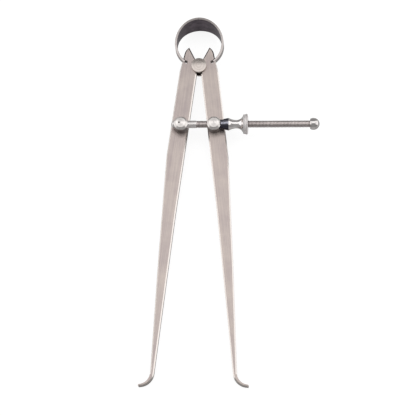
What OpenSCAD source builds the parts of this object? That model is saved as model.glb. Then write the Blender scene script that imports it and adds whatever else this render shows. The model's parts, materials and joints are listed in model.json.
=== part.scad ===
// Inside spring caliper of the 6 inch size.
// Two bevelled legs swing on a spooled fulcrum stud. A bow spring, seated in slots in their outer
// edges, draws the tops together and so drives the feet apart. A nut on a screw that runs between
// two swivelling studs holds the legs against the spring and sets the opening.
// The tool lies on its back: +Z is the side with the studs, +Y points to the bow, -Y to the feet
// and +X along the screw to its ball. The origin is on the fulcrum axis, at the flat back of the
// fulcrum stud's rear head. All sizes are in millimetres.

/* [Legs] */
// Fulcrum axis to the lowest point of the sole, along the leg
leg_length = 152.4; // [130:0.1:180]
// Thickness of the leg
leg_thickness = 3; // [2.6:0.1:3.6]
// Width of the blade above its taper
leg_width = 8; // [7.6:0.1:9.5]
// Distance of the inner edge's two ends from the fulcrum axis, across the leg
inner_setback = 0.6; // [0.4:0.05:0.9]
// Distance below the fulcrum axis at which the outer edge starts to taper
taper_start = 46; // [40:0.5:70]
// Width of the neck just above the foot
neck_width = 1.7; // [1.5:0.1:2.6]
// Width of the bevel along the edges, seen from the front
bevel_width = 0.55; // [0.2:0.05:0.65]
// Depth of that bevel into the thickness
bevel_depth = 0.5; // [0.2:0.05:0.8]
// Outward bow of the blade at the middle of its length
leg_bow = 0.5; // [0.2:0.05:0.8]
// Angle of each inner edge from the tool's centre line, as stored
half_angle = 6.5; // [6:0.1:8]

/* [Feet] */
// Reach of the toe from the leg's inner edge
toe_reach = 6.2; // [4.5:0.1:6.4]
// Radius of the sole, from the inner edge round to the toe
sole_radius = 6.4; // [6.4:0.1:9]
// Radius of the instep above the toe
instep_radius = 5.2; // [4.2:0.1:6]
// Thickness of the toe under the lowest point of the instep
toe_thickness = 0.9; // [0.7:0.05:1.4]

/* [Leg tops] */
// Fulcrum axis to the tip of the horn
horn_length = 10.7; // [9.5:0.1:11.4]
// Angle between the horn's inner edge and the leg's inner edge
horn_angle = 33; // [31:0.5:38]
// Distance of the horn's outer side from the fulcrum axis, across the leg
horn_side = 7.6; // [7.2:0.05:8]
// Radius of the horn's outer curve
horn_radius = 5.35; // [4.6:0.05:7]
// Distance below the fulcrum axis at which the leg reaches its full width
shoulder_drop = 4; // [2:0.5:10]

/* [Fulcrum stud] */
// Diameter of the spool that the legs swing on
fulcrum_d = 4.4; // [3.6:0.1:5]
// Diameter of the two heads
head_d = 7; // [6.4:0.1:8]
// Thickness of each head at its rim
head_thickness = 1.1; // [0.8:0.1:1.6]
// Height of the dome on the front head
head_dome = 0.3; // [0.1:0.05:0.6]

/* [Bow spring] */
// Outside diameter of the bow
bow_d = 22.9; // [22:0.1:23.8]
// Thickness of the spring strip
bow_thickness = 1.05; // [0.8:0.05:1.2]
// Width of the strip at the crown
bow_width = 13.2; // [11:0.1:14]
// Width of the strip at its ends, inside the slots
bow_end_width = 2.7; // [2:0.1:3]
// Radius of the strip's hollow edges, seen from the side
bow_edge_radius = 70; // [50:1:200]
// Height of the bow's centre above the fulcrum axis
bow_rise = 11.1; // [10.7:0.05:11.5]
// Angle from the crown to each end of the strip
bow_half_span = 142.5; // [140:0.5:145]
// Diameter of the relief hole at the bottom of each slot
relief_d = 1.5; // [1.3:0.05:1.8]

/* [Swivel studs] */
// Distance of the studs below the fulcrum axis, along the leg
stud_drop = 31.25; // [26:0.05:36]
// Distance of the stud's axis from the leg's inner edge
stud_inset = 3.5; // [3.2:0.05:4.2]
// Diameter of the stud's head
stud_d = 6.3; // [5.6:0.1:6.6]
// Height of the head above the face of the leg
stud_height = 6; // [5.6:0.1:7]
// Chamfer round the top of the head
stud_chamfer = 0.8; // [0.3:0.05:1]
// Height of the dome on the head
stud_dome = 0.35; // [0.1:0.05:0.6]
// Diameter of the shank that turns in the leg
shank_d = 3.2; // [2.8:0.1:3.6]
// Diameter of the tenon that carries the washer
tenon_d = 2.2; // [1.8:0.1:2.6]
// Outside diameter of the washer behind the leg
washer_d = 5.2; // [4.4:0.1:6]
// Thickness of that washer
washer_thickness = 0.8; // [0.5:0.05:1]
// Diameter of the riveted end that holds the washer
rivet_d = 3; // [2.8:0.1:3.8]
// Thickness of the riveted end
rivet_thickness = 0.4; // [0.2:0.05:0.6]

/* [Screw] */
// Height of the screw's axis above the face of the leg
screw_height = 3.2; // [3.1:0.05:3.5]
// Diameter of the plain shank
screw_d = 3.4; // [3:0.05:3.6]
// Outside diameter of the threaded length
thread_d = 3.3; // [3:0.05:3.4]
// Length of screw that shows beyond the left stud's axis
screw_overhang = 4.45; // [3.8:0.05:6]
// Height of the dome on that end
screw_dome = 0.8; // [0.3:0.05:1.2]
// Length of plain shank to the right of the left stud's axis
plain_length = 7.35; // [5:0.05:9]
// Distance from the left stud's axis to the centre of the ball
ball_reach = 60.6; // [52:0.1:80]
// Diameter of the ball
ball_d = 5.55; // [4.8:0.05:6.5]
// Distance from the ball's centre to the flat that faces the thread
ball_flat = 1.55; // [1.2:0.05:1.9]
// Diameter of the spigot that the ball is pressed on
spigot_d = 2.2; // [1.8:0.1:2.6]
// Length of that spigot
spigot_length = 2.6; // [1.6:0.1:3]
// Diameter of the pin that holds the screw in the left stud
pin_d = 0.8; // [0.6:0.05:1]
// Distance of the pin from the stud's axis, towards the screw's free end
pin_offset = 0.7; // [0.2:0.05:1.1]
// Depth of the pin's end below the face of the head
pin_recess = 0.5; // [0.2:0.05:0.8]
// Depth that the pin reaches past the screw's axis
pin_reach = 0.8; // [0.3:0.05:1.1]

/* [Ferrule and nut] */
// Length of the ferrule from the side of the stud
ferrule_length = 3.55; // [3:0.05:5]
// Diameter of the ferrule's neck, against the stud
ferrule_neck_d = 4.4; // [4:0.1:4.8]
// Length of that neck from the side of the stud
ferrule_neck_length = 1.1; // [0.6:0.1:1.6]
// Diameter of the ferrule's cone where it leaves the neck
ferrule_cone_d = 4.8; // [4.6:0.1:5.2]
// Diameter of the collars that meet between ferrule and nut
collar_d = 5.8; // [5.4:0.05:6]
// Diameter of the nut's waist
waist_d = 3.9; // [3.8:0.05:4.8]
// Distance from the nut's collar to its waist
waist_x = 3.6; // [2.6:0.1:3.6]
// Radius of the flare from the waist to the flange
flare_radius = 3.1; // [3.1:0.05:4.4]
// Distance from the nut's collar to its flange
flange_x = 6.65; // [6.2:0.05:6.7]
// Diameter of the flange
flange_d = 9.5; // [9:0.1:11]
// Thickness of the flange
flange_thickness = 2.15; // [1.6:0.05:3]
// Thickness of the plain step on the flange's front side
step_thickness = 0.7; // [0.4:0.05:1]
// Depth of that step below the flange's rim
step_depth = 0.25; // [0.1:0.05:0.5]
// Chamfer on the flange's rim
rim_chamfer = 0.25; // [0.1:0.05:0.4]

/* [Fits] */
// Radial clearance of pieces that turn or slide in each other
running_clearance = 0.05; // [0.02:0.01:0.1]
// Play along the axis beside pieces that turn
axial_play = 0.05; // [0.02:0.01:0.1]
// Radial clearance of pressed pieces
press_clearance = 0.01; // [0.005:0.005:0.02]
// Clearance on each side of the spring in its slots
slot_clearance = 0.08; // [0.05:0.01:0.15]

/* [Hidden] */
$fn = 96;

steel = "#b9b2af";
spring_steel = "#a8a3a1";
polished = "#d6d0ca";
blued = "#2a2c33";

// Levels of the legs and the screw
leg_back = head_thickness + axial_play;
leg_front = leg_back + leg_thickness;
leg_mid = leg_back + leg_thickness / 2;
screw_z = leg_front + screw_height;

// Outline of a leg, drawn closed: its inner edge runs along -Y and it lies on the +X side
outer_edge = inner_setback + leg_width;
horn_tip = horn_length * [sin(horn_angle), cos(horn_angle)];
horn_centre_x = horn_side - horn_radius;
horn_centre = [horn_centre_x, horn_tip.y - sqrt(horn_radius ^ 2 - (horn_tip.x - horn_centre_x) ^ 2)];
horn_sweep = atan2(horn_tip.y - horn_centre.y, horn_tip.x - horn_centre.x);
sole_centre = [inner_setback + sole_radius, sole_radius - leg_length];
instep_centre = [
    inner_setback + neck_width + instep_radius,
    toe_thickness + instep_radius - leg_length
];
inner_top = [inner_setback, inner_setback / tan(horn_angle)];
inner_bottom = [inner_setback, sole_centre.y];
neck = [inner_setback + neck_width, instep_centre.y];
taper_corner = [outer_edge, -taper_start];
horn_root = [horn_side, horn_centre.y];

// The blade's bow is so slight that each of its edges is two straight stretches with a knee
function bowed(p) =
    let (t = (inner_top.y - p.y) / (inner_top.y - inner_bottom.y))
    p + [4 * leg_bow * t * (1 - t), 0];
inner_knee = bowed((inner_top + inner_bottom) / 2);
outer_knee = bowed((neck + taper_corner) / 2);
taper_top = bowed(taper_corner);
shoulder = bowed([outer_edge, -shoulder_drop]);

// The toe's round end lies between the sole and the instep
function below(centre, radius, x) = centre.y - sqrt(radius ^ 2 - (x - centre.x) ^ 2);
toe_x = inner_setback + toe_reach - toe_thickness / 2;
toe_sole = below(sole_centre, sole_radius, toe_x);
toe_instep = below(instep_centre, instep_radius, toe_x);
toe_end = [toe_x, (toe_sole + toe_instep) / 2];
toe_end_r = (toe_instep - toe_sole) / 2;
toe_sweep = atan2(toe_sole - sole_centre.y, toe_x - sole_centre.x) + 180;

// Studs: their place on a closed leg, and as stored
stud_on_leg = [inner_setback + stud_inset, -stud_drop];
stud_x = stud_on_leg.x * cos(half_angle) - stud_on_leg.y * sin(half_angle);
stud_y = stud_on_leg.x * sin(half_angle) + stud_on_leg.y * cos(half_angle);
washer_top = leg_back - axial_play;
washer_bottom = washer_top - washer_thickness;
head_bottom = leg_front + axial_play;
head_top = leg_front + stud_height;

// Bow: radius to the middle of the strip, and the relief holes just past its ends
strip_r = bow_d / 2 - bow_thickness / 2;
relief_span = bow_half_span + asin((relief_d / 2) / strip_r);
slot_sweep = 40;

// Places along the screw, from the right stud's axis
ferrule_x = stud_d / 2;
nut_x = ferrule_x + ferrule_length + axial_play;
nut_length = flange_x + flange_thickness;
waist_r = waist_d / 2;
collar_rise = (collar_d - waist_d) / 2;
throat_radius = (waist_x ^ 2 + collar_rise ^ 2) / (2 * collar_rise);

// A cut is carried past the faces that it opens on by this much
past = 1;

// Radius of a cap of the given height over the given diameter
function cap_radius(d, h) = (d ^ 2 / 4 + h ^ 2) / (2 * h);

// Centre of an arc of radius r from p to q, on the left of the way
function arc_centre(p, q, r) =
    let (u = (q - p) / norm(q - p), half = norm(q - p) / 2)
    (p + q) / 2 + [-u.y, u.x] * sqrt(r ^ 2 - half ^ 2);

// Cylinder along +Z whose far end is a low dome of height h
module domed_cylinder(d, length, h) {
    cylinder(d = d, h = length - h);
    intersection() {
        cylinder(d = d, h = length);
        translate([0, 0, length - cap_radius(d, h)]) sphere(r = cap_radius(d, h));
    }
}

// Turns a piece drawn along +Z so that it lies along the screw, x beyond the tool's centre line
module on_screw(x) {
    translate([x, stud_y, screw_z]) rotate([0, 90, 0]) children();
}

// Section of the cut that bevels one edge on both faces: the edge is at 0, the leg on its +X side
module bevel_section() {
    spare = 0.5;
    out = -spare * bevel_width;
    into = (1 + spare) * bevel_width;
    low = (1 + spare) * bevel_depth;
    high = -spare * bevel_depth;
    polygon([[out, low], [into, high], [out, high]]);
    translate([0, leg_thickness]) polygon([[out, -low], [into, -high], [out, -high]]);
}

// Bevel along a straight edge, with the leg on the left of the way from p to q
module straight_bevel(p, q) {
    way = q - p;
    overrun = bevel_width / 4;
    translate([p.x, p.y, 0])
        rotate([0, 0, atan2(way.y, way.x)])
            translate([-overrun, 0, 0])
                rotate([90, 0, 90])
                    linear_extrude(norm(way) + 2 * overrun) bevel_section();
}

// Bevel along a round edge, from an angle through a sweep, with the leg on the side of the centre
module round_bevel(centre, radius, from, sweep) {
    translate([centre.x, centre.y, 0])
        rotate([0, 0, from])
            rotate_extrude(angle = sweep)
                translate([radius, 0]) mirror([1, 0]) bevel_section();
}

// Round outer side of the horn, beyond the chord from its root to its tip
module horn_outline() {
    far = 2 * outer_edge;
    intersection() {
        translate(horn_centre) circle(r = horn_radius);
        polygon([horn_root, [far, horn_root.y], [far, 2 * horn_tip.y], horn_tip]);
    }
}

module toe_outline() {
    difference() {
        intersection() {
            translate(sole_centre) circle(r = sole_radius);
            translate([inner_setback, -leg_length]) square([toe_x - inner_setback, sole_radius]);
        }
        translate(instep_centre) circle(r = instep_radius);
    }
    translate(toe_end) circle(r = toe_end_r);
}

module leg_outline() {
    difference() {
        union() {
            polygon([
                inner_top, inner_knee, inner_bottom,
                neck, outer_knee, taper_top, shoulder, horn_root, horn_tip
            ]);
            horn_outline();
            toe_outline();
        }
        circle(r = fulcrum_d / 2 + running_clearance);
        translate(stud_on_leg) circle(d = shank_d + 2 * running_clearance);
    }
}

module leg_blank() {
    difference() {
        linear_extrude(leg_thickness) leg_outline();
        straight_bevel(horn_tip, inner_top);
        straight_bevel(inner_top, inner_knee);
        straight_bevel(inner_knee, inner_bottom);
        straight_bevel(neck, outer_knee);
        straight_bevel(outer_knee, taper_top);
        straight_bevel(taper_top, shoulder);
        straight_bevel(shoulder, horn_root);
        round_bevel(horn_centre, horn_radius, 0, horn_sweep);
        round_bevel(sole_centre, sole_radius, 180, toe_sweep);
    }
}

// Slot in the right leg for the end of the bow spring, with its relief hole
module spring_slot() {
    width = bow_thickness + 2 * slot_clearance;
    translate([0, bow_rise, leg_back - past])
        rotate([0, 0, 90 - relief_span]) {
            rotate_extrude(angle = slot_sweep)
                translate([strip_r - width / 2, 0]) square([width, leg_thickness + 2 * past]);
            translate([strip_r, 0, 0]) cylinder(d = relief_d, h = leg_thickness + 2 * past);
        }
}

module leg() {
    difference() {
        translate([0, 0, leg_back]) rotate([0, 0, half_angle]) leg_blank();
        spring_slot();
    }
}

module right_leg() {
    color(steel) leg();
}

module left_leg() {
    color(steel) mirror([1, 0, 0]) leg();
}

// Round cut that hollows one edge of the strip, on the +Z or -Z side of the legs' middle
module strip_edge(side) {
    crown = [bow_rise + bow_d / 2, bow_width / 2];
    end = [bow_rise + strip_r * cos(bow_half_span), bow_end_width / 2];
    centre = arc_centre(end, crown, bow_edge_radius);
    translate([-bow_d, centre.x, leg_mid + side * centre.y])
        rotate([0, 90, 0]) cylinder(r = bow_edge_radius, h = 2 * bow_d);
}

module bow_spring() {
    blank_width = bow_width + 2 * past;
    color(spring_steel)
        difference() {
            translate([0, bow_rise, leg_mid - blank_width / 2])
                rotate([0, 0, 90 - bow_half_span])
                    rotate_extrude(angle = 2 * bow_half_span)
                        translate([bow_d / 2 - bow_thickness, 0]) square([bow_thickness, blank_width]);
            strip_edge(1);
            strip_edge(-1);
        }
}

module fulcrum_stud() {
    front = leg_front + axial_play;
    color(polished) {
        cylinder(d = head_d, h = head_thickness);
        cylinder(d = fulcrum_d, h = front + head_thickness / 2);
        translate([0, 0, front]) domed_cylinder(head_d, head_thickness + head_dome, head_dome);
    }
}

// Swivel stud without its cross hole: riveted end, tenon, shank and chamfered head
module stud_blank() {
    head_height = head_top - head_bottom;
    translate([0, 0, washer_bottom - rivet_thickness]) cylinder(d = rivet_d, h = rivet_thickness);
    translate([0, 0, washer_bottom]) cylinder(d = tenon_d, h = washer_thickness);
    translate([0, 0, washer_top]) cylinder(d = shank_d, h = head_bottom - washer_top);
    translate([0, 0, head_bottom])
        intersection() {
            domed_cylinder(stud_d, head_height, stud_dome);
            union() {
                cylinder(d = stud_d, h = head_height - stud_chamfer - stud_dome);
                translate([0, 0, head_height - stud_chamfer - stud_dome])
                    cylinder(d1 = stud_d, d2 = stud_d - 2 * stud_chamfer, h = stud_chamfer);
                cylinder(d = stud_d - 2 * stud_chamfer, h = head_height);
            }
        }
}

// Hole across a stud's head, along the screw
module cross_hole(x, d) {
    on_screw(x - stud_d) cylinder(d = d, h = 2 * stud_d);
}

// The pin's own shape, made larger by a radial clearance
module pin_shape(clearance, top) {
    bottom = screw_z - pin_reach;
    translate([-stud_x - pin_offset, stud_y, bottom])
        cylinder(d = pin_d + 2 * clearance, h = top - bottom);
}

module left_swivel_stud() {
    color(polished)
        difference() {
            translate([-stud_x, stud_y, 0]) stud_blank();
            cross_hole(-stud_x, screw_d + 2 * press_clearance);
            pin_shape(press_clearance, head_top + past);
        }
}

module right_swivel_stud() {
    color(polished)
        difference() {
            translate([stud_x, stud_y, 0]) stud_blank();
            cross_hole(stud_x, screw_d + 2 * running_clearance);
        }
}

module stud_washer(x) {
    translate([x, stud_y, washer_bottom])
        difference() {
            cylinder(d = washer_d, h = washer_thickness);
            translate([0, 0, -past])
                cylinder(d = tenon_d + 2 * press_clearance, h = washer_thickness + 2 * past);
        }
}

module left_stud_washer() {
    color(steel) stud_washer(-stud_x);
}

module right_stud_washer() {
    color(steel) stud_washer(stud_x);
}

module adjusting_screw() {
    shoulder_x = ball_reach - ball_flat;
    color(polished)
        difference() {
            on_screw(-stud_x) {
                translate([0, 0, plain_length])
                    rotate([180, 0, 0])
                        domed_cylinder(screw_d, plain_length + screw_overhang, screw_dome);
                cylinder(d = thread_d, h = shoulder_x);
                cylinder(d = spigot_d, h = shoulder_x + spigot_length);
            }
            pin_shape(press_clearance, head_top);
        }
}

module screw_pin() {
    color(steel) pin_shape(0, head_top - pin_recess);
}

module stop_ball() {
    color(polished)
        on_screw(ball_reach - stud_x)
            difference() {
                sphere(d = ball_d);
                translate([0, 0, -ball_d - ball_flat]) cylinder(d = 2 * ball_d, h = ball_d);
                translate([0, 0, -ball_flat - past])
                    cylinder(d = spigot_d + 2 * press_clearance, h = spigot_length + past);
            }
}

module nut_ferrule() {
    cone_length = ferrule_length - ferrule_neck_length;
    color(blued)
        difference() {
            on_screw(stud_x) {
                cylinder(d = ferrule_neck_d, h = ferrule_x + ferrule_neck_length);
                translate([0, 0, ferrule_x + ferrule_neck_length])
                    cylinder(d1 = ferrule_cone_d, d2 = collar_d, h = cone_length);
            }
            on_screw(stud_x) cylinder(d = thread_d + 2 * running_clearance, h = nut_x + past);
            translate([stud_x, stud_y, leg_front]) cylinder(d = stud_d + 2 * running_clearance, h = stud_height);
        }
}

// Half section of the nut: radius along X, length along Y from its collar
module nut_section() {
    bore_r = thread_d / 2 + running_clearance;
    rim_x = flange_x + step_thickness;
    rim_r = flange_d / 2;
    difference() {
        translate([bore_r, 0]) square([rim_r - bore_r, flange_x]);
        intersection() {
            translate([waist_r + throat_radius, waist_x]) circle(r = throat_radius);
            translate([0, -past]) square([rim_r + past, waist_x + past]);
        }
        intersection() {
            translate([waist_r + flare_radius, waist_x]) circle(r = flare_radius);
            translate([0, waist_x]) square([rim_r + past, flange_x]);
        }
    }
    translate([bore_r, flange_x]) square([rim_r - step_depth - bore_r, step_thickness]);
    polygon([
        [bore_r, rim_x], [rim_r - rim_chamfer, rim_x], [rim_r, rim_x + rim_chamfer],
        [rim_r, nut_length - rim_chamfer], [rim_r - rim_chamfer, nut_length], [bore_r, nut_length]
    ]);
}

module adjusting_nut() {
    color(polished) on_screw(stud_x + nut_x) rotate_extrude() nut_section();
}

left_leg();
right_leg();
bow_spring();
fulcrum_stud();
left_swivel_stud();
left_stud_washer();
right_swivel_stud();
right_stud_washer();
adjusting_screw();
screw_pin();
stop_ball();
nut_ferrule();
adjusting_nut();
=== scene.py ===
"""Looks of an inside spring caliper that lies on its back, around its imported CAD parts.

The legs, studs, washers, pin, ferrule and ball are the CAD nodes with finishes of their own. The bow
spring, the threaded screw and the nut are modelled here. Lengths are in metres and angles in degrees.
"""
import json
import math

import bpy
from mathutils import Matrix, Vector


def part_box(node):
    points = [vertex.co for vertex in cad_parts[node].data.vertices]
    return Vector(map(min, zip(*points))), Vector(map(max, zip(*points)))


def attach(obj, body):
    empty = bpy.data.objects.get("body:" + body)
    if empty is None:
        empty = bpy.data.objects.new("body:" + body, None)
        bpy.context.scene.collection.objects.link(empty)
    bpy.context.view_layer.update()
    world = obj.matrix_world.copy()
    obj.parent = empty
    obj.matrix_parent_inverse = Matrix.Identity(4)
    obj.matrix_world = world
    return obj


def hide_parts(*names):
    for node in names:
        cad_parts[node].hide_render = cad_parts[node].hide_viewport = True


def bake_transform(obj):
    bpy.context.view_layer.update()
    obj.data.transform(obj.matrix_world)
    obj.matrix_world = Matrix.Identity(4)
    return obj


MM = 0.001

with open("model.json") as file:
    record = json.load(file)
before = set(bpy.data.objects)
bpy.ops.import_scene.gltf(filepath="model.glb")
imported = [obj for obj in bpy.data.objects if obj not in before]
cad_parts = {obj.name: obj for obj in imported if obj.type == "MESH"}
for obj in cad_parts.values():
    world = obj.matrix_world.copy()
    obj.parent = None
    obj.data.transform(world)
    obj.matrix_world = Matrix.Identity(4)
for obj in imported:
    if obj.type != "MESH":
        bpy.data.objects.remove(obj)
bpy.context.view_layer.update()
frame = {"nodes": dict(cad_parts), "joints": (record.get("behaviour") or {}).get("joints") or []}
nodes = frame["nodes"]

# Places and sizes read from the CAD parts
joint_place = {joint["name"]: Vector(joint["pos_m"]) for joint in frame["joints"]}
LEFT_STUD_X = joint_place["left_stud_swivel"].x
RIGHT_STUD_X = joint_place["right_stud_swivel"].x
NUT_X, SCREW_Y, SCREW_Z = joint_place["nut_spin"]
ON_SCREW = Vector((0, SCREW_Y, SCREW_Z))
bow_low, bow_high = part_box("bow_spring")
STRIP_OUTER = (bow_high.x - bow_low.x) / 2
CROWN_HALF_WIDTH = (bow_high.z - bow_low.z) / 2
BOW_CENTRE = Vector((0, bow_high.y - STRIP_OUTER, (bow_low.z + bow_high.z) / 2))
nut_low, nut_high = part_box("adjusting_nut")
FLANGE_RADIUS = nut_high.z - SCREW_Z
NUT_LENGTH = nut_high.x - nut_low.x
FULCRUM_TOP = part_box("fulcrum_stud")[1].z
STUD_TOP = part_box("right_swivel_stud")[1].z
foot_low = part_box("right_leg")[0]
# Each leg's angle from the middle line of the tool
LEG_ANGLE = 6.5

# Camera of the photograph, fitted to the leg edges, the bow and the screw
FILM_WIDTH_MM, FOCAL_LENGTH_MM = 36, 110.8
CAMERA_PLACE = Vector((34.88, -245.96, 552.8)) * MM
CAMERA_TURN = (17.8218, 2.8201, 0.8433)


def place_camera():
    """The camera that sees the tool as the photograph does."""
    data = bpy.data.cameras.new("camera")
    data.sensor_width, data.lens = FILM_WIDTH_MM, FOCAL_LENGTH_MM
    camera = bpy.data.objects.new("camera", data)
    bpy.context.scene.collection.objects.link(camera)
    camera.location = CAMERA_PLACE
    camera.rotation_euler = [math.radians(turn) for turn in CAMERA_TURN]
    bpy.context.scene.camera = camera


# Materials
def linear(colour):
    """Linear RGBA of an sRGB hex colour."""
    channels = [int(colour[i:i + 2], 16) / 255 for i in (1, 3, 5)]
    return [c / 12.92 if c <= 0.04045 else ((c + 0.055) / 1.055) ** 2.4 for c in channels] + [1]


def add(tree, kind, settings=None, links=None):
    """Adds a node, sets its properties and input values, and links its inputs."""
    node = tree.nodes.new(kind)
    for name, value in (settings or {}).items():
        if isinstance(name, str) and hasattr(node, name):
            setattr(node, name, value)
        else:
            node.inputs[name].default_value = value
    for name, socket in (links or {}).items():
        tree.links.new(socket, node.inputs[name])
    return node


def new_material(name):
    """A new material, its node tree and its shader, with nothing linked to it yet."""
    material = bpy.data.materials.new(name)
    material.use_nodes = True
    tree = material.node_tree
    return material, tree, tree.nodes["Principled BSDF"]


def make_metal(tree, shader, tone, gloss, bump=None):
    """Makes a shader a metal with this colour, this roughness and, where there is one, this bump."""
    shader.inputs["Metallic"].default_value = 1.0
    tree.links.new(tone.outputs["Color"], shader.inputs["Base Color"])
    tree.links.new(gloss.outputs["Result"], shader.inputs["Roughness"])
    if bump:
        tree.links.new(bump.outputs["Normal"], shader.inputs["Normal"])


def stretch_highlights(tree, shader, axis, turned):
    """Stretches highlights round an axis, or across that at a quarter turn, as the finest marks do."""
    around = add(tree, "ShaderNodeTangent", {"direction_type": "RADIAL", "axis": axis})
    tree.links.new(around.outputs["Tangent"], shader.inputs["Tangent"])
    shader.inputs["Anisotropic"].default_value = 0.9
    shader.inputs["Anisotropic Rotation"].default_value = turned


def draw_filed_steel(name, turn):
    """Tool steel, draw-filed along the leg and dulled by use.

    It gives the eye fine long scratches, grey clouds, painted highlights on bevels and painted shade on
    sides.
    """
    material, tree, shader = new_material(name)
    place = add(tree, "ShaderNodeTexCoord")
    # Scratches as coarse as they need to be to show, and clouds from handling
    scratch_width, scratch_length, cloud_size = 0.4 * MM, 30 * MM, 12 * MM
    along = add(tree, "ShaderNodeMapping", {"Rotation": (0, 0, math.radians(turn))},
                {"Vector": place.outputs["Object"]})
    stretched = add(tree, "ShaderNodeMapping",
                    {"Scale": (1 / scratch_width, 1 / scratch_length, 1 / scratch_width)},
                    {"Vector": along.outputs["Vector"]})
    scratches = add(tree, "ShaderNodeTexNoise", {"Scale": 1.0, "Detail": 3.0, "Roughness": 0.6},
                    {"Vector": stretched.outputs["Vector"]})
    clouds = add(tree, "ShaderNodeTexNoise", {"Scale": 1 / cloud_size, "Detail": 4.0, "Roughness": 0.6},
                 {"Vector": place.outputs["Object"]})
    mottle = add(tree, "ShaderNodeMix", {"Factor": 0.55},
                 {"A": scratches.outputs["Fac"], "B": clouds.outputs["Fac"]})
    depth = add(tree, "ShaderNodeMapRange", {"From Min": 0.38, "From Max": 0.62},
                {"Value": mottle.outputs["Result"]})
    face = add(tree, "ShaderNodeMixRGB", {"Color1": linear("#aea2a0"), "Color2": linear("#ccc0b9")},
               {"Fac": depth.outputs["Result"]})
    # Level is 1 on a flat face and 0 on an upright side; a bevel lies between
    bevel_level, bevel_spread, side_level = 0.72, 0.2, 0.3
    facing = add(tree, "ShaderNodeSeparateXYZ", links={"Vector": place.outputs["Normal"]})
    level = add(tree, "ShaderNodeMath", {"operation": "ABSOLUTE"}, {0: facing.outputs["Z"]})
    painted_highlight_mask = add(tree, "ShaderNodeMath", {"operation": "COMPARE", 1: bevel_level, 2: bevel_spread},
                 {0: level.outputs[0]})
    # The bevels' lighter tone is a painted highlight; they are glossier too
    bevelled = add(tree, "ShaderNodeMixRGB", {"Color2": linear("#e0d8d3")},
                   {"Fac": painted_highlight_mask.outputs[0], "Color1": face.outputs["Color"]})
    # Painted shade: the upright sides are darker
    side = add(tree, "ShaderNodeMath", {"operation": "LESS_THAN", 1: side_level}, {0: level.outputs[0]})
    tone = add(tree, "ShaderNodeMixRGB", {"Color2": linear("#8a807d")},
               {"Fac": side.outputs[0], "Color1": bevelled.outputs["Color"]})
    dull = add(tree, "ShaderNodeMapRange", {"To Min": 0.36, "To Max": 0.46},
               {"Value": depth.outputs["Result"]})
    gloss = add(tree, "ShaderNodeMix", {"B": 0.24},
                {"Factor": painted_highlight_mask.outputs[0], "A": dull.outputs["Result"]})
    bump = add(tree, "ShaderNodeBump", {"Strength": 0.12, "Distance": 0.05 * MM},
               {"Height": scratches.outputs["Fac"]})
    make_metal(tree, shader, tone, gloss, bump)
    return material


def turning_marks(tree, place, axis, centre, clouded):
    """Rings round an axis with clouds over them: the rings, and the tone of both together, from 0 to 1."""
    # Tool marks as coarse as they need to be to show; the texture has 20 / tau rings in a unit
    ring_spacing, cloud_size = 1.2 * MM, 2.2 * MM
    centred = add(tree, "ShaderNodeMapping", {"Location": -Vector(centre)},
                  {"Vector": place.outputs["Object"]})
    rings = add(tree, "ShaderNodeTexWave",
                {"wave_type": "RINGS", "rings_direction": axis, "Scale": math.tau / 20 / ring_spacing,
                 "Distortion": 1.5, "Detail": 2.0},
                {"Vector": centred.outputs["Vector"]})
    clouds = add(tree, "ShaderNodeTexNoise", {"Scale": 1 / cloud_size, "Detail": 3.0},
                 {"Vector": place.outputs["Object"]})
    marks = add(tree, "ShaderNodeMix", {"Factor": clouded},
                {"A": rings.outputs["Fac"], "B": clouds.outputs["Fac"]})
    depth = add(tree, "ShaderNodeMapRange", {"From Min": 0.15, "From Max": 0.85},
                {"Value": marks.outputs["Result"]})
    return rings.outputs["Fac"], depth.outputs["Result"]


def turned_steel(name, dark, light, roughness):
    """Steel turned round the screw's axis: faint rings, in a surface from satin to bright."""
    material, tree, shader = new_material(name)
    place = add(tree, "ShaderNodeTexCoord")
    rings, depth = turning_marks(tree, place, "X", ON_SCREW, 0.5)
    tone = add(tree, "ShaderNodeMixRGB", {"Color1": linear(dark), "Color2": linear(light)}, {"Fac": depth})
    gloss = add(tree, "ShaderNodeMapRange", {"To Min": roughness - 0.04, "To Max": roughness + 0.06},
                {"Value": depth})
    bump = add(tree, "ShaderNodeBump", {"Strength": 0.05, "Distance": 0.02 * MM}, {"Height": rings})
    make_metal(tree, shader, tone, gloss, bump)
    return material


def cross_ground_rim():
    """The nut's rim, ground across its width: pale and even, with each highlight spread round it."""
    material = turned_steel("cross_ground_steel_rim", "#e8e2e1", "#fcf8f7", 0.42)
    tree = material.node_tree
    stretch_highlights(tree, tree.nodes["Principled BSDF"], "X", 0)
    return material


def spooled_steel():
    """The fulcrum stud's turned steel: heads with clear rings, and painted shade in the groove between
    them.
    """
    material, tree, shader = new_material("turned_steel_fulcrum")
    place = add(tree, "ShaderNodeTexCoord")
    rings, depth = turning_marks(tree, place, "Z", (0, 0, 0), 0.68)
    head = add(tree, "ShaderNodeMixRGB", {"Color1": linear("#afa6a1"), "Color2": linear("#d0c7c1")},
               {"Fac": depth})
    # The groove lies between the two heads, of which the front one is domed
    head_thickness, head_dome = 1.1 * MM, 0.3 * MM
    groove_middle = (FULCRUM_TOP - head_dome) / 2
    height = add(tree, "ShaderNodeSeparateXYZ", links={"Vector": place.outputs["Object"]})
    # Painted shade: the groove between the heads is darker
    painted_groove_shade = add(tree, "ShaderNodeMath",
                 {"operation": "COMPARE", 1: groove_middle, 2: groove_middle - head_thickness},
                 {0: height.outputs["Z"]})
    tone = add(tree, "ShaderNodeMixRGB", {"Color2": linear("#8a807b")},
               {"Fac": painted_groove_shade.outputs[0], "Color1": head.outputs["Color"]})
    gloss = add(tree, "ShaderNodeMapRange", {"To Min": 0.2, "To Max": 0.28}, {"Value": depth})
    bump = add(tree, "ShaderNodeBump", {"Strength": 0.05, "Distance": 0.02 * MM}, {"Height": rings})
    make_metal(tree, shader, tone, gloss, bump)
    return material


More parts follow.
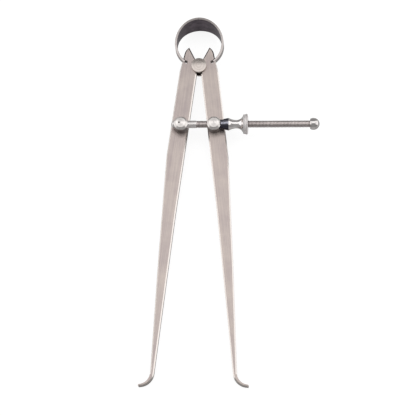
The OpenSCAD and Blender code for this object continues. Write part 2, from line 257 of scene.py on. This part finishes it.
def polished_stud(name, x):
    """Stud steel: a bright turned head with faint rings, and a slightly rougher stem darkened with painted
    shade.
    """
    material, tree, shader = new_material(name)
    place = add(tree, "ShaderNodeTexCoord")
    rings, depth = turning_marks(tree, place, "Z", (x, SCREW_Y, 0), 0.8)
    head = add(tree, "ShaderNodeMixRGB", {"Color1": linear("#d6d0cd"), "Color2": linear("#f3efec")},
               {"Fac": depth})
    painted_stem_shade = add(tree, "ShaderNodeMixRGB", {"Color1": linear("#7a7270"), "Color2": linear("#9c9492")},
               {"Fac": depth})
    # Painted shade darkens the stem and fades out upwards, between these heights
    shaded_height, unshaded_height = STUD_TOP - 2.6 * MM, STUD_TOP - 1.2 * MM
    height = add(tree, "ShaderNodeSeparateXYZ", links={"Vector": place.outputs["Object"]})
    unshaded_share = add(tree, "ShaderNodeMapRange", {"From Min": shaded_height, "From Max": unshaded_height},
                 {"Value": height.outputs["Z"]})
    tone = add(tree, "ShaderNodeMixRGB",
               links={"Fac": unshaded_share.outputs["Result"], "Color1": painted_stem_shade.outputs["Color"],
                      "Color2": head.outputs["Color"]})
    gloss = add(tree, "ShaderNodeMapRange", {"To Min": 0.36, "To Max": 0.34},
                {"Value": unshaded_share.outputs["Result"]})
    bump = add(tree, "ShaderNodeBump", {"Strength": 0.02, "Distance": 0.02 * MM}, {"Height": rings})
    make_metal(tree, shader, tone, gloss, bump)
    # A quarter turn, so that highlights run across the turning marks
    stretch_highlights(tree, shader, "Z", 0.25)
    return material


def brushed_strip(name, dark, light):
    """Spring steel strip, rolled, tempered and brushed along its length, so the marks run round the bow."""
    material, tree, shader = new_material(name)
    place = add(tree, "ShaderNodeTexCoord")
    # Brush marks as coarse as they need to be to show, long round the bow, and clouds from the temper
    mark_width, mark_length, cloud_size = 0.35 * MM, 25 * MM, 2.5 * MM
    stretched = add(tree, "ShaderNodeMapping",
                    {"Scale": (1 / mark_length, 1 / mark_length, 1 / mark_width)},
                    {"Vector": place.outputs["Object"]})
    brushing = add(tree, "ShaderNodeTexNoise", {"Scale": 1.0, "Detail": 3.0, "Roughness": 0.6},
                   {"Vector": stretched.outputs["Vector"]})
    clouds = add(tree, "ShaderNodeTexNoise", {"Scale": 1 / cloud_size, "Detail": 3.0},
                 {"Vector": place.outputs["Object"]})
    mottle = add(tree, "ShaderNodeMix", {"Factor": 0.6},
                 {"A": brushing.outputs["Fac"], "B": clouds.outputs["Fac"]})
    depth = add(tree, "ShaderNodeMapRange", {"From Min": 0.3, "From Max": 0.7},
                {"Value": mottle.outputs["Result"]})
    tone = add(tree, "ShaderNodeMixRGB", {"Color1": linear(dark), "Color2": linear(light)},
               {"Fac": depth.outputs["Result"]})
    gloss = add(tree, "ShaderNodeMapRange", {"To Min": 0.28, "To Max": 0.38},
                {"Value": depth.outputs["Result"]})
    bump = add(tree, "ShaderNodeBump", {"Strength": 0.1, "Distance": 0.05 * MM},
               {"Height": brushing.outputs["Fac"]})
    make_metal(tree, shader, tone, gloss, bump)
    return material


def blued_steel():
    """Steel blued by heat: nearly black, with a cold blue tint, and a painted highlight along the top."""
    material, tree, shader = new_material("heat_blued_steel")
    place = add(tree, "ShaderNodeTexCoord")
    patch_size = 1.2 * MM
    patches = add(tree, "ShaderNodeTexNoise", {"Scale": 1 / patch_size, "Detail": 4.0},
                  {"Vector": place.outputs["Object"]})
    # A painted highlight in patches on the faces that look up
    facing = add(tree, "ShaderNodeSeparateXYZ", links={"Vector": place.outputs["Normal"]})
    top = add(tree, "ShaderNodeMapRange", {"From Min": 0.82, "From Max": 1.0},
              {"Value": facing.outputs["Z"]})
    highlight_patches = add(tree, "ShaderNodeMapRange",
               {"From Min": 0.3, "From Max": 0.6, "To Min": 0.35, "To Max": 1.0},
               {"Value": patches.outputs["Fac"]})
    painted_highlight_mask = add(tree, "ShaderNodeMath", {"operation": "MULTIPLY"},
                 {0: top.outputs["Result"], 1: highlight_patches.outputs["Result"]})
    tone = add(tree, "ShaderNodeMixRGB", {"Color1": linear("#4c4c57"), "Color2": linear("#b4b5c0")},
               {"Fac": painted_highlight_mask.outputs[0]})
    gloss = add(tree, "ShaderNodeMapRange", {"To Min": 0.1, "To Max": 0.2},
                {"Value": patches.outputs["Fac"]})
    make_metal(tree, shader, tone, gloss)
    return material


def shaded_pin_steel():
    """A pin's end deep in its hole, painted nearly black for the shade in the hole, and spotted with grime.
    """
    material, tree, shader = new_material("pin_end_painted_shade")
    place = add(tree, "ShaderNodeTexCoord")
    spot_size = 0.25 * MM
    grime = add(tree, "ShaderNodeTexNoise", {"Scale": 1 / spot_size, "Detail": 2.0},
                {"Vector": place.outputs["Object"]})
    tone = add(tree, "ShaderNodeMixRGB", {"Color1": linear("#1c1817"), "Color2": linear("#3b3432")},
               {"Fac": grime.outputs["Fac"]})
    gloss = add(tree, "ShaderNodeMapRange", {"To Min": 0.4, "To Max": 0.6},
                {"Value": grime.outputs["Fac"]})
    make_metal(tree, shader, tone, gloss)
    return material


# Modelling by operators; points nearer than this are one point, or lie on the plane of a cut
EXACTNESS = 0.0005 * MM


def start_piece(name, add_primitive, **sizes):
    """Adds a primitive under a name, with nothing else selected."""
    bpy.ops.object.select_all(action="DESELECT")
    add_primitive(**sizes)
    piece = bpy.context.object
    piece.name = name
    return piece


def draw_profile(name, points):
    """An open line through points, drawn from one corner by extruding it; leaves the piece in edit mode."""
    piece = start_piece(name, bpy.ops.mesh.primitive_plane_add, size=MM, location=points[0])
    bpy.ops.object.transform_apply(location=True)
    bpy.ops.object.mode_set(mode="EDIT")
    bpy.ops.mesh.select_all(action="SELECT")
    bpy.ops.mesh.merge(type="CENTER")
    for here, there in zip(points, points[1:]):
        bpy.ops.mesh.extrude_region_move(TRANSFORM_OT_translate={"value": Vector(there) - Vector(here)})
    bpy.ops.mesh.select_all(action="SELECT")
    return piece


def close_skin(angle=30):
    """Merges doubles, turns the faces outwards and leaves edit mode with smooth shading below an angle."""
    bpy.ops.mesh.select_all(action="SELECT")
    bpy.ops.mesh.remove_doubles(threshold=EXACTNESS)
    bpy.ops.mesh.normals_make_consistent(inside=False)
    bpy.ops.object.mode_set(mode="OBJECT")
    bpy.ops.object.shade_smooth_by_angle(angle=math.radians(angle))


def turn_on_lathe(name, outline, steps):
    """A body turned round the screw's axis from (place along X, radius) points, closed or ending on it."""
    piece = draw_profile(name, [(x, SCREW_Y, SCREW_Z + radius) for x, radius in outline])
    bpy.ops.mesh.spin(steps=steps, angle=math.tau, use_auto_merge=True, center=ON_SCREW, axis=(1, 0, 0))
    close_skin()
    return piece


def arc(centre, radius, start, end, count):
    """Points on an arc from one angle to another, in degrees, both ends included."""
    steps = [math.radians(start + (end - start) * i / count) for i in range(count + 1)]
    return [(centre[0] + radius * math.cos(a), centre[1] + radius * math.sin(a)) for a in steps]


def dress(piece, material):
    """Gives a piece one material in place of what it had."""
    piece.data.materials.clear()
    piece.data.materials.append(material)


# Bow spring: the strip narrows from its crown to its ends, along hollow edges of a large radius
STRIP_THICKNESS, END_HALF_WIDTH = 1.05 * MM, 1.35 * MM
HOLLOW_RADIUS, EDGE_ROUNDING = 70 * MM, 0.18 * MM
# The angle from the crown to each end, and the last stretch of it, which is seated in the leg
STRIP_HALF_SPAN, SEATED_SPAN = 142.5, 14
# An odd count, so that the crown is in the middle of a flat and its two halves meet without a crease
STRIP_STEPS = 241


def on_bow(angle, radius):
    """A place on the bow at an angle from its crown, towards +X."""
    turn = math.radians(angle)
    return BOW_CENTRE + radius * Vector((math.sin(turn), math.cos(turn), 0))


def strip_half_width(height):
    """Half the strip's width at a height above the bow's centre, on the hollow edge."""
    end_height = (STRIP_OUTER - STRIP_THICKNESS / 2) * math.cos(math.radians(STRIP_HALF_SPAN))
    crown = Vector((STRIP_OUTER, CROWN_HALF_WIDTH))
    end = Vector((end_height, END_HALF_WIDTH))
    way = (crown - end).normalized()
    half = (crown - end).length / 2
    centre = (crown + end) / 2 + Vector((-way.y, way.x)) * math.sqrt(HOLLOW_RADIUS ** 2 - half ** 2)
    return centre.y - math.sqrt(HOLLOW_RADIUS ** 2 - (height - centre.x) ** 2)


def swept_bow(outer_steel, inward_shaded_steel):
    """The whole strip, swept round from its left end and then narrowed, with rounded edges."""
    piece = start_piece("bow_spring_whole", bpy.ops.mesh.primitive_plane_add, size=1,
                        location=on_bow(-STRIP_HALF_SPAN, STRIP_OUTER - STRIP_THICKNESS / 2),
                        rotation=(0, math.pi / 2, math.radians(STRIP_HALF_SPAN)))
    piece.scale = (2 * CROWN_HALF_WIDTH, STRIP_THICKNESS, 1)
    bpy.ops.object.transform_apply(location=True, rotation=True, scale=True)
    bpy.ops.object.mode_set(mode="EDIT")
    bpy.ops.mesh.select_all(action="SELECT")
    bpy.ops.mesh.spin(steps=STRIP_STEPS, angle=math.radians(2 * STRIP_HALF_SPAN), use_auto_merge=False,
                      center=BOW_CENTRE, axis=(0, 0, 1))
    bpy.ops.object.mode_set(mode="OBJECT")
    for vertex in piece.data.vertices:
        reach = strip_half_width(vertex.co.y - BOW_CENTRE.y)
        vertex.co.z = BOW_CENTRE.z + math.copysign(reach, vertex.co.z - BOW_CENTRE.z)
    bpy.ops.object.mode_set(mode="EDIT")
    close_skin()
    rounding = piece.modifiers.new("rounded_edges", "BEVEL")
    rounding.width, rounding.segments, rounding.limit_method = EDGE_ROUNDING, 3, "ANGLE"
    bpy.ops.object.modifier_apply(modifier=rounding.name)
    # Painted shade: faces turned inwards get a darker tone; the outside and the edges keep the lighter one
    dress(piece, outer_steel)
    piece.data.materials.append(inward_shaded_steel)
    turned_inwards = -0.6
    for face in piece.data.polygons:
        outwards = (face.center - BOW_CENTRE) * Vector((1, 1, 0))
        face.material_index = int(face.normal.dot(outwards.normalized()) < turned_inwards)
    return piece


def bow_half(whole, name, side):
    """A copy of one half of the bow, cut at the crown."""
    bpy.ops.object.select_all(action="DESELECT")
    whole.select_set(True)
    bpy.context.view_layer.objects.active = whole
    bpy.ops.object.duplicate()
    piece = bpy.context.object
    piece.name = name
    bpy.ops.object.mode_set(mode="EDIT")
    bpy.ops.mesh.select_all(action="SELECT")
    bpy.ops.mesh.bisect(plane_co=BOW_CENTRE, plane_no=(side, 0, 0), threshold=EXACTNESS,
                        use_fill=True, clear_inner=True)
    close_skin()
    return piece


# Screw: a plain shank with a domed end, then a thread of 40 turns to the inch
SHANK_RADIUS, SHANK_DOME, SHANK_CHAMFER = 1.7 * MM, 0.8 * MM, 0.35 * MM
SCREW_LEFT, SHANK_END = LEFT_STUD_X - 4.45 * MM, LEFT_STUD_X + 7.35 * MM
PITCH = 25.4 * MM / 40
THREAD_RADIUS, ROOT_RADIUS = 1.65 * MM, 1.42 * MM
# The thread's flat crest, in shares of the pitch
CREST_START, CREST_END = 0.42, 0.56
# The thread begins in the shank's chamfer, and a spigot of the shank goes into it
THREAD_START, THREAD_END = SHANK_END - 0.3 * MM, LEFT_STUD_X + 59.05 * MM
SPIGOT_RADIUS = 0.9 * ROOT_RADIUS
SHANK_STEPS, DOME_STEPS, THREAD_STEPS = 64, 10, 24


def plain_shank(steel):
    """The screw's plain end, with its dome, its chamfer and the spigot."""
    dome_radius = (SHANK_RADIUS ** 2 + SHANK_DOME ** 2) / (2 * SHANK_DOME)
    dome_span = math.degrees(math.asin(SHANK_RADIUS / dome_radius))
    outline = arc((SCREW_LEFT + dome_radius, 0), dome_radius, 180, 180 - dome_span, DOME_STEPS)
    outline += [(SHANK_END - SHANK_CHAMFER, SHANK_RADIUS), (SHANK_END, ROOT_RADIUS)]
    outline += [(SHANK_END + PITCH, SPIGOT_RADIUS), (SHANK_END + PITCH, 0)]
    piece = turn_on_lathe("adjusting_screw_threaded", outline, SHANK_STEPS)
    dress(piece, steel)
    return piece


def helical_thread(steel):
    """The thread, swept along a helix that is longer at both ends and is then cut off square."""
    ridge = [(0, ROOT_RADIUS), (CREST_START * PITCH, THREAD_RADIUS)]
    ridge += [(CREST_END * PITCH, THREAD_RADIUS), (PITCH, ROOT_RADIUS)]
    piece = draw_profile("screw_thread", [(x, 0, radius) for x, radius in ridge])
    bpy.ops.object.mode_set(mode="OBJECT")
    turns_before, turns_after = 2, 1
    helix = piece.modifiers.new("helix", "SCREW")
    helix.axis, helix.screw_offset = "X", PITCH
    helix.iterations = turns_before + math.ceil((THREAD_END - SHANK_END) / PITCH) + turns_after
    helix.steps = helix.render_steps = THREAD_STEPS
    bpy.ops.object.modifier_apply(modifier=helix.name)
    piece.location = (SHANK_END - turns_before * PITCH, SCREW_Y, SCREW_Z)
    bpy.ops.object.transform_apply(location=True)
    bpy.ops.object.mode_set(mode="EDIT")
    bpy.ops.mesh.select_all(action="SELECT")
    bpy.ops.mesh.remove_doubles(threshold=EXACTNESS)
    for x, outwards in ((THREAD_START, -1), (THREAD_END, 1)):
        bpy.ops.mesh.select_all(action="SELECT")
        bpy.ops.mesh.bisect(plane_co=(x, SCREW_Y, SCREW_Z), plane_no=(outwards, 0, 0), threshold=EXACTNESS,
                            use_fill=True, clear_outer=True)
    # The wider angle softens an edge of the crest
    close_skin(angle=40)
    dress(piece, steel)
    return piece


def threaded_screw(shank_steel, thread_steel):
    """The whole screw, its shank and its thread joined in one piece."""
    shank = plain_shank(shank_steel)
    thread = helical_thread(thread_steel)
    bpy.ops.object.select_all(action="DESELECT")
    thread.select_set(True)
    shank.select_set(True)
    bpy.context.view_layer.objects.active = shank
    bpy.ops.object.join()
    return shank


# Nut: a waist between a collar and a flange with a half-round rim
COLLAR_RADIUS, WAIST_RADIUS, WAIST_X = 2.9 * MM, 1.95 * MM, 3.6 * MM
FLARE_RADIUS, FLANGE_X = 3.1 * MM, 6.65 * MM
STEP_X, STEP_DEPTH = 0.7 * MM, 0.25 * MM
NUT_BORE, BORE_CHAMFER = 1.7 * MM, 0.3 * MM
NUT_STEPS, THROAT_STEPS, FLARE_STEPS, RIM_STEPS = 96, 14, 18, 18


def waisted_nut(waist_steel, flange_steel):
    """The nut, turned from one outline, with a finish of its own on the flange."""
    waist_x, flange_x, right_x = NUT_X + WAIST_X, NUT_X + FLANGE_X, NUT_X + NUT_LENGTH
    # One arc from the collar down to the waist, and a tighter one up to the flange
    rise = COLLAR_RADIUS - WAIST_RADIUS
    throat_radius = (WAIST_X ** 2 + rise ** 2) / (2 * rise)
    throat_span = math.degrees(math.asin(WAIST_X / throat_radius))
    throat = arc((waist_x, WAIST_RADIUS + throat_radius), throat_radius,
                 270 - throat_span, 270, THROAT_STEPS)
    flare_span = math.degrees(math.asin((FLANGE_X - WAIST_X) / FLARE_RADIUS))
    flare = arc((waist_x, WAIST_RADIUS + FLARE_RADIUS), FLARE_RADIUS,
                270, 270 + flare_span, FLARE_STEPS)
    # The rim is round from a shallow step on its left
    rim_radius = (NUT_LENGTH - FLANGE_X - STEP_X) / 2
    rim_start = 180 - math.degrees(math.asin(1 - STEP_DEPTH / rim_radius))
    rim = arc((right_x - rim_radius, FLANGE_RADIUS - rim_radius), rim_radius, rim_start, 0, RIM_STEPS)
    outline = [(NUT_X, NUT_BORE)] + throat[:-1] + flare
    outline += [(flange_x, FLANGE_RADIUS - STEP_DEPTH)] + rim
    outline += [(right_x, NUT_BORE + BORE_CHAMFER), (right_x - BORE_CHAMFER, NUT_BORE), (NUT_X, NUT_BORE)]
    piece = turn_on_lathe("adjusting_nut_turned", outline, NUT_STEPS)
    dress(piece, waist_steel)
    piece.data.materials.append(flange_steel)
    for face in piece.data.polygons:
        face.material_index = int(face.center.x > flange_x)
    return piece


# Stage: a floor that is white to the camera, as in the photograph, and soft boxes round the tool
FLOOR_SIZE, FLOOR_GAP = 4, 0.02 * MM
CAMERA_GLOW, METAL_GLOW = 0.86, 0.28
TOOL_MIDDLE = Vector((0, -0.06, 0))


def matt_white_paper():
    """Matt paper with a glow.

    The glow makes the lit paper white to the camera and leaves the tool's shadow in it. Metal and glass
    see a fainter one.
    """
    material, tree, shader = new_material("matt_white_paper")
    shader.inputs["Base Color"].default_value = linear("#8c8c8c")
    shader.inputs["Roughness"].default_value = 0.9
    shader.inputs["Specular IOR Level"].default_value = 0.0
    rays = add(tree, "ShaderNodeLightPath")
    mirrored = add(tree, "ShaderNodeMath", {"operation": "MAXIMUM"},
                   {0: rays.outputs["Is Glossy Ray"], 1: rays.outputs["Is Transmission Ray"]})
    faint = add(tree, "ShaderNodeMath", {"operation": "MULTIPLY", 1: METAL_GLOW}, {0: mirrored.outputs[0]})
    glow = add(tree, "ShaderNodeMath", {"operation": "MULTIPLY_ADD", 1: CAMERA_GLOW},
               {0: rays.outputs["Is Camera Ray"], 2: faint.outputs[0]})
    white = add(tree, "ShaderNodeEmission", {"Color": linear("#ffffff")}, {"Strength": glow.outputs[0]})
    both = add(tree, "ShaderNodeAddShader", links={0: shader.outputs[0], 1: white.outputs[0]})
    tree.links.new(both.outputs[0], tree.nodes["Material Output"].inputs["Surface"])
    return material


def lay_floor():
    """The floor, which leans a little: the tool rests on the back edge of its bow and on its feet."""
    bow_rest = Vector((0, bow_high.y, bow_low.z))
    foot_rest = Vector((0, foot_low.y, foot_low.z))
    way = bow_rest - foot_rest
    floor = start_piece("floor", bpy.ops.mesh.primitive_plane_add, size=FLOOR_SIZE,
                        location=(bow_rest + foot_rest) / 2 - Vector((0, 0, FLOOR_GAP)),
                        rotation=(math.atan2(way.z, way.y), 0, 0))
    dress(floor, matt_white_paper())


def soft_box(name, place, width, height, watts):
    """A soft box that faces the middle of the tool."""
    data = bpy.data.lights.new(name, "AREA")
    data.shape, data.size, data.size_y, data.energy = "RECTANGLE", width, height, watts
    light = bpy.data.objects.new(name, data)
    bpy.context.scene.collection.objects.link(light)
    light.location = place
    light.rotation_euler = (TOOL_MIDDLE - Vector(place)).to_track_quat("-Z", "Y").to_euler()


def light_stage():
    """A soft box above the tool and one on each side of it, in an evenly lit room."""
    world = bpy.data.worlds.new("room")
    bpy.context.scene.world = world
    world.use_nodes = True
    room = world.node_tree.nodes["Background"]
    room.inputs["Color"].default_value = linear("#ffffff")
    room.inputs["Strength"].default_value = 0.33
    soft_box("overhead_box", (0, 0.15, 0.9), width=1.2, height=0.64, watts=2.5)
    soft_box("left_box", (-0.75, 0.1, 0.37), width=1.0, height=0.85, watts=2.85)
    soft_box("right_box", (0.75, 0.1, 0.38), width=1.0, height=0.85, watts=2.85)
    bpy.context.scene.view_settings.view_transform = "Standard"


place_camera()
lay_floor()
light_stage()

# Finishes of the CAD nodes; each washer has its stud's
left_stud_steel = polished_stud("polished_left_stud", LEFT_STUD_X)
right_stud_steel = polished_stud("polished_right_stud", RIGHT_STUD_X)
node_finish = {
    "left_leg": draw_filed_steel("draw_filed_steel_left", LEG_ANGLE),
    "right_leg": draw_filed_steel("draw_filed_steel_right", -LEG_ANGLE),
    "fulcrum_stud": spooled_steel(),
    "left_swivel_stud": left_stud_steel,
    "left_stud_washer": left_stud_steel,
    "right_swivel_stud": right_stud_steel,
    "right_stud_washer": right_stud_steel,
    "screw_pin": shaded_pin_steel(),
    "stop_ball": turned_steel("turned_steel_ball", "#c9c4c2", "#e9e6e4", 0.1),
    "nut_ferrule": blued_steel(),
}
for name, steel in node_finish.items():
    dress(nodes[name], steel)

# The bow in two halves, cut at the crown
outer_strip = brushed_strip("outer_spring_strip", "#b0a8a6", "#cbc4c1")
# The inside's darker tones are painted shade
inward_shaded_strip = brushed_strip("inward_painted_shade_strip", "#362c37", "#82767e")
whole_bow = swept_bow(outer_strip, inward_shaded_strip)
for name, side, leg in (("bow_spring_right", 1, "right_leg"), ("bow_spring_left", -1, "left_leg")):
    half = bow_half(whole_bow, name, side)
    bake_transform(half)
    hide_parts("bow_spring")
bpy.data.objects.remove(whole_bow)

# The screw, and the nut on it
shank_steel = turned_steel("turned_steel_shank", "#d6d0ce", "#f2eeec", 0.4)
thread_steel = turned_steel("turned_steel_thread", "#aea6a4", "#d2cac8", 0.22)
screw = threaded_screw(shank_steel, thread_steel)
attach(screw, "screw")
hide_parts("adjusting_screw")
nut_steel = turned_steel("turned_steel_nut", "#d9d5d4", "#f5f2f1", 0.15)
nut = waisted_nut(nut_steel, cross_ground_rim())
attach(nut, "nut")
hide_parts("adjusting_nut")
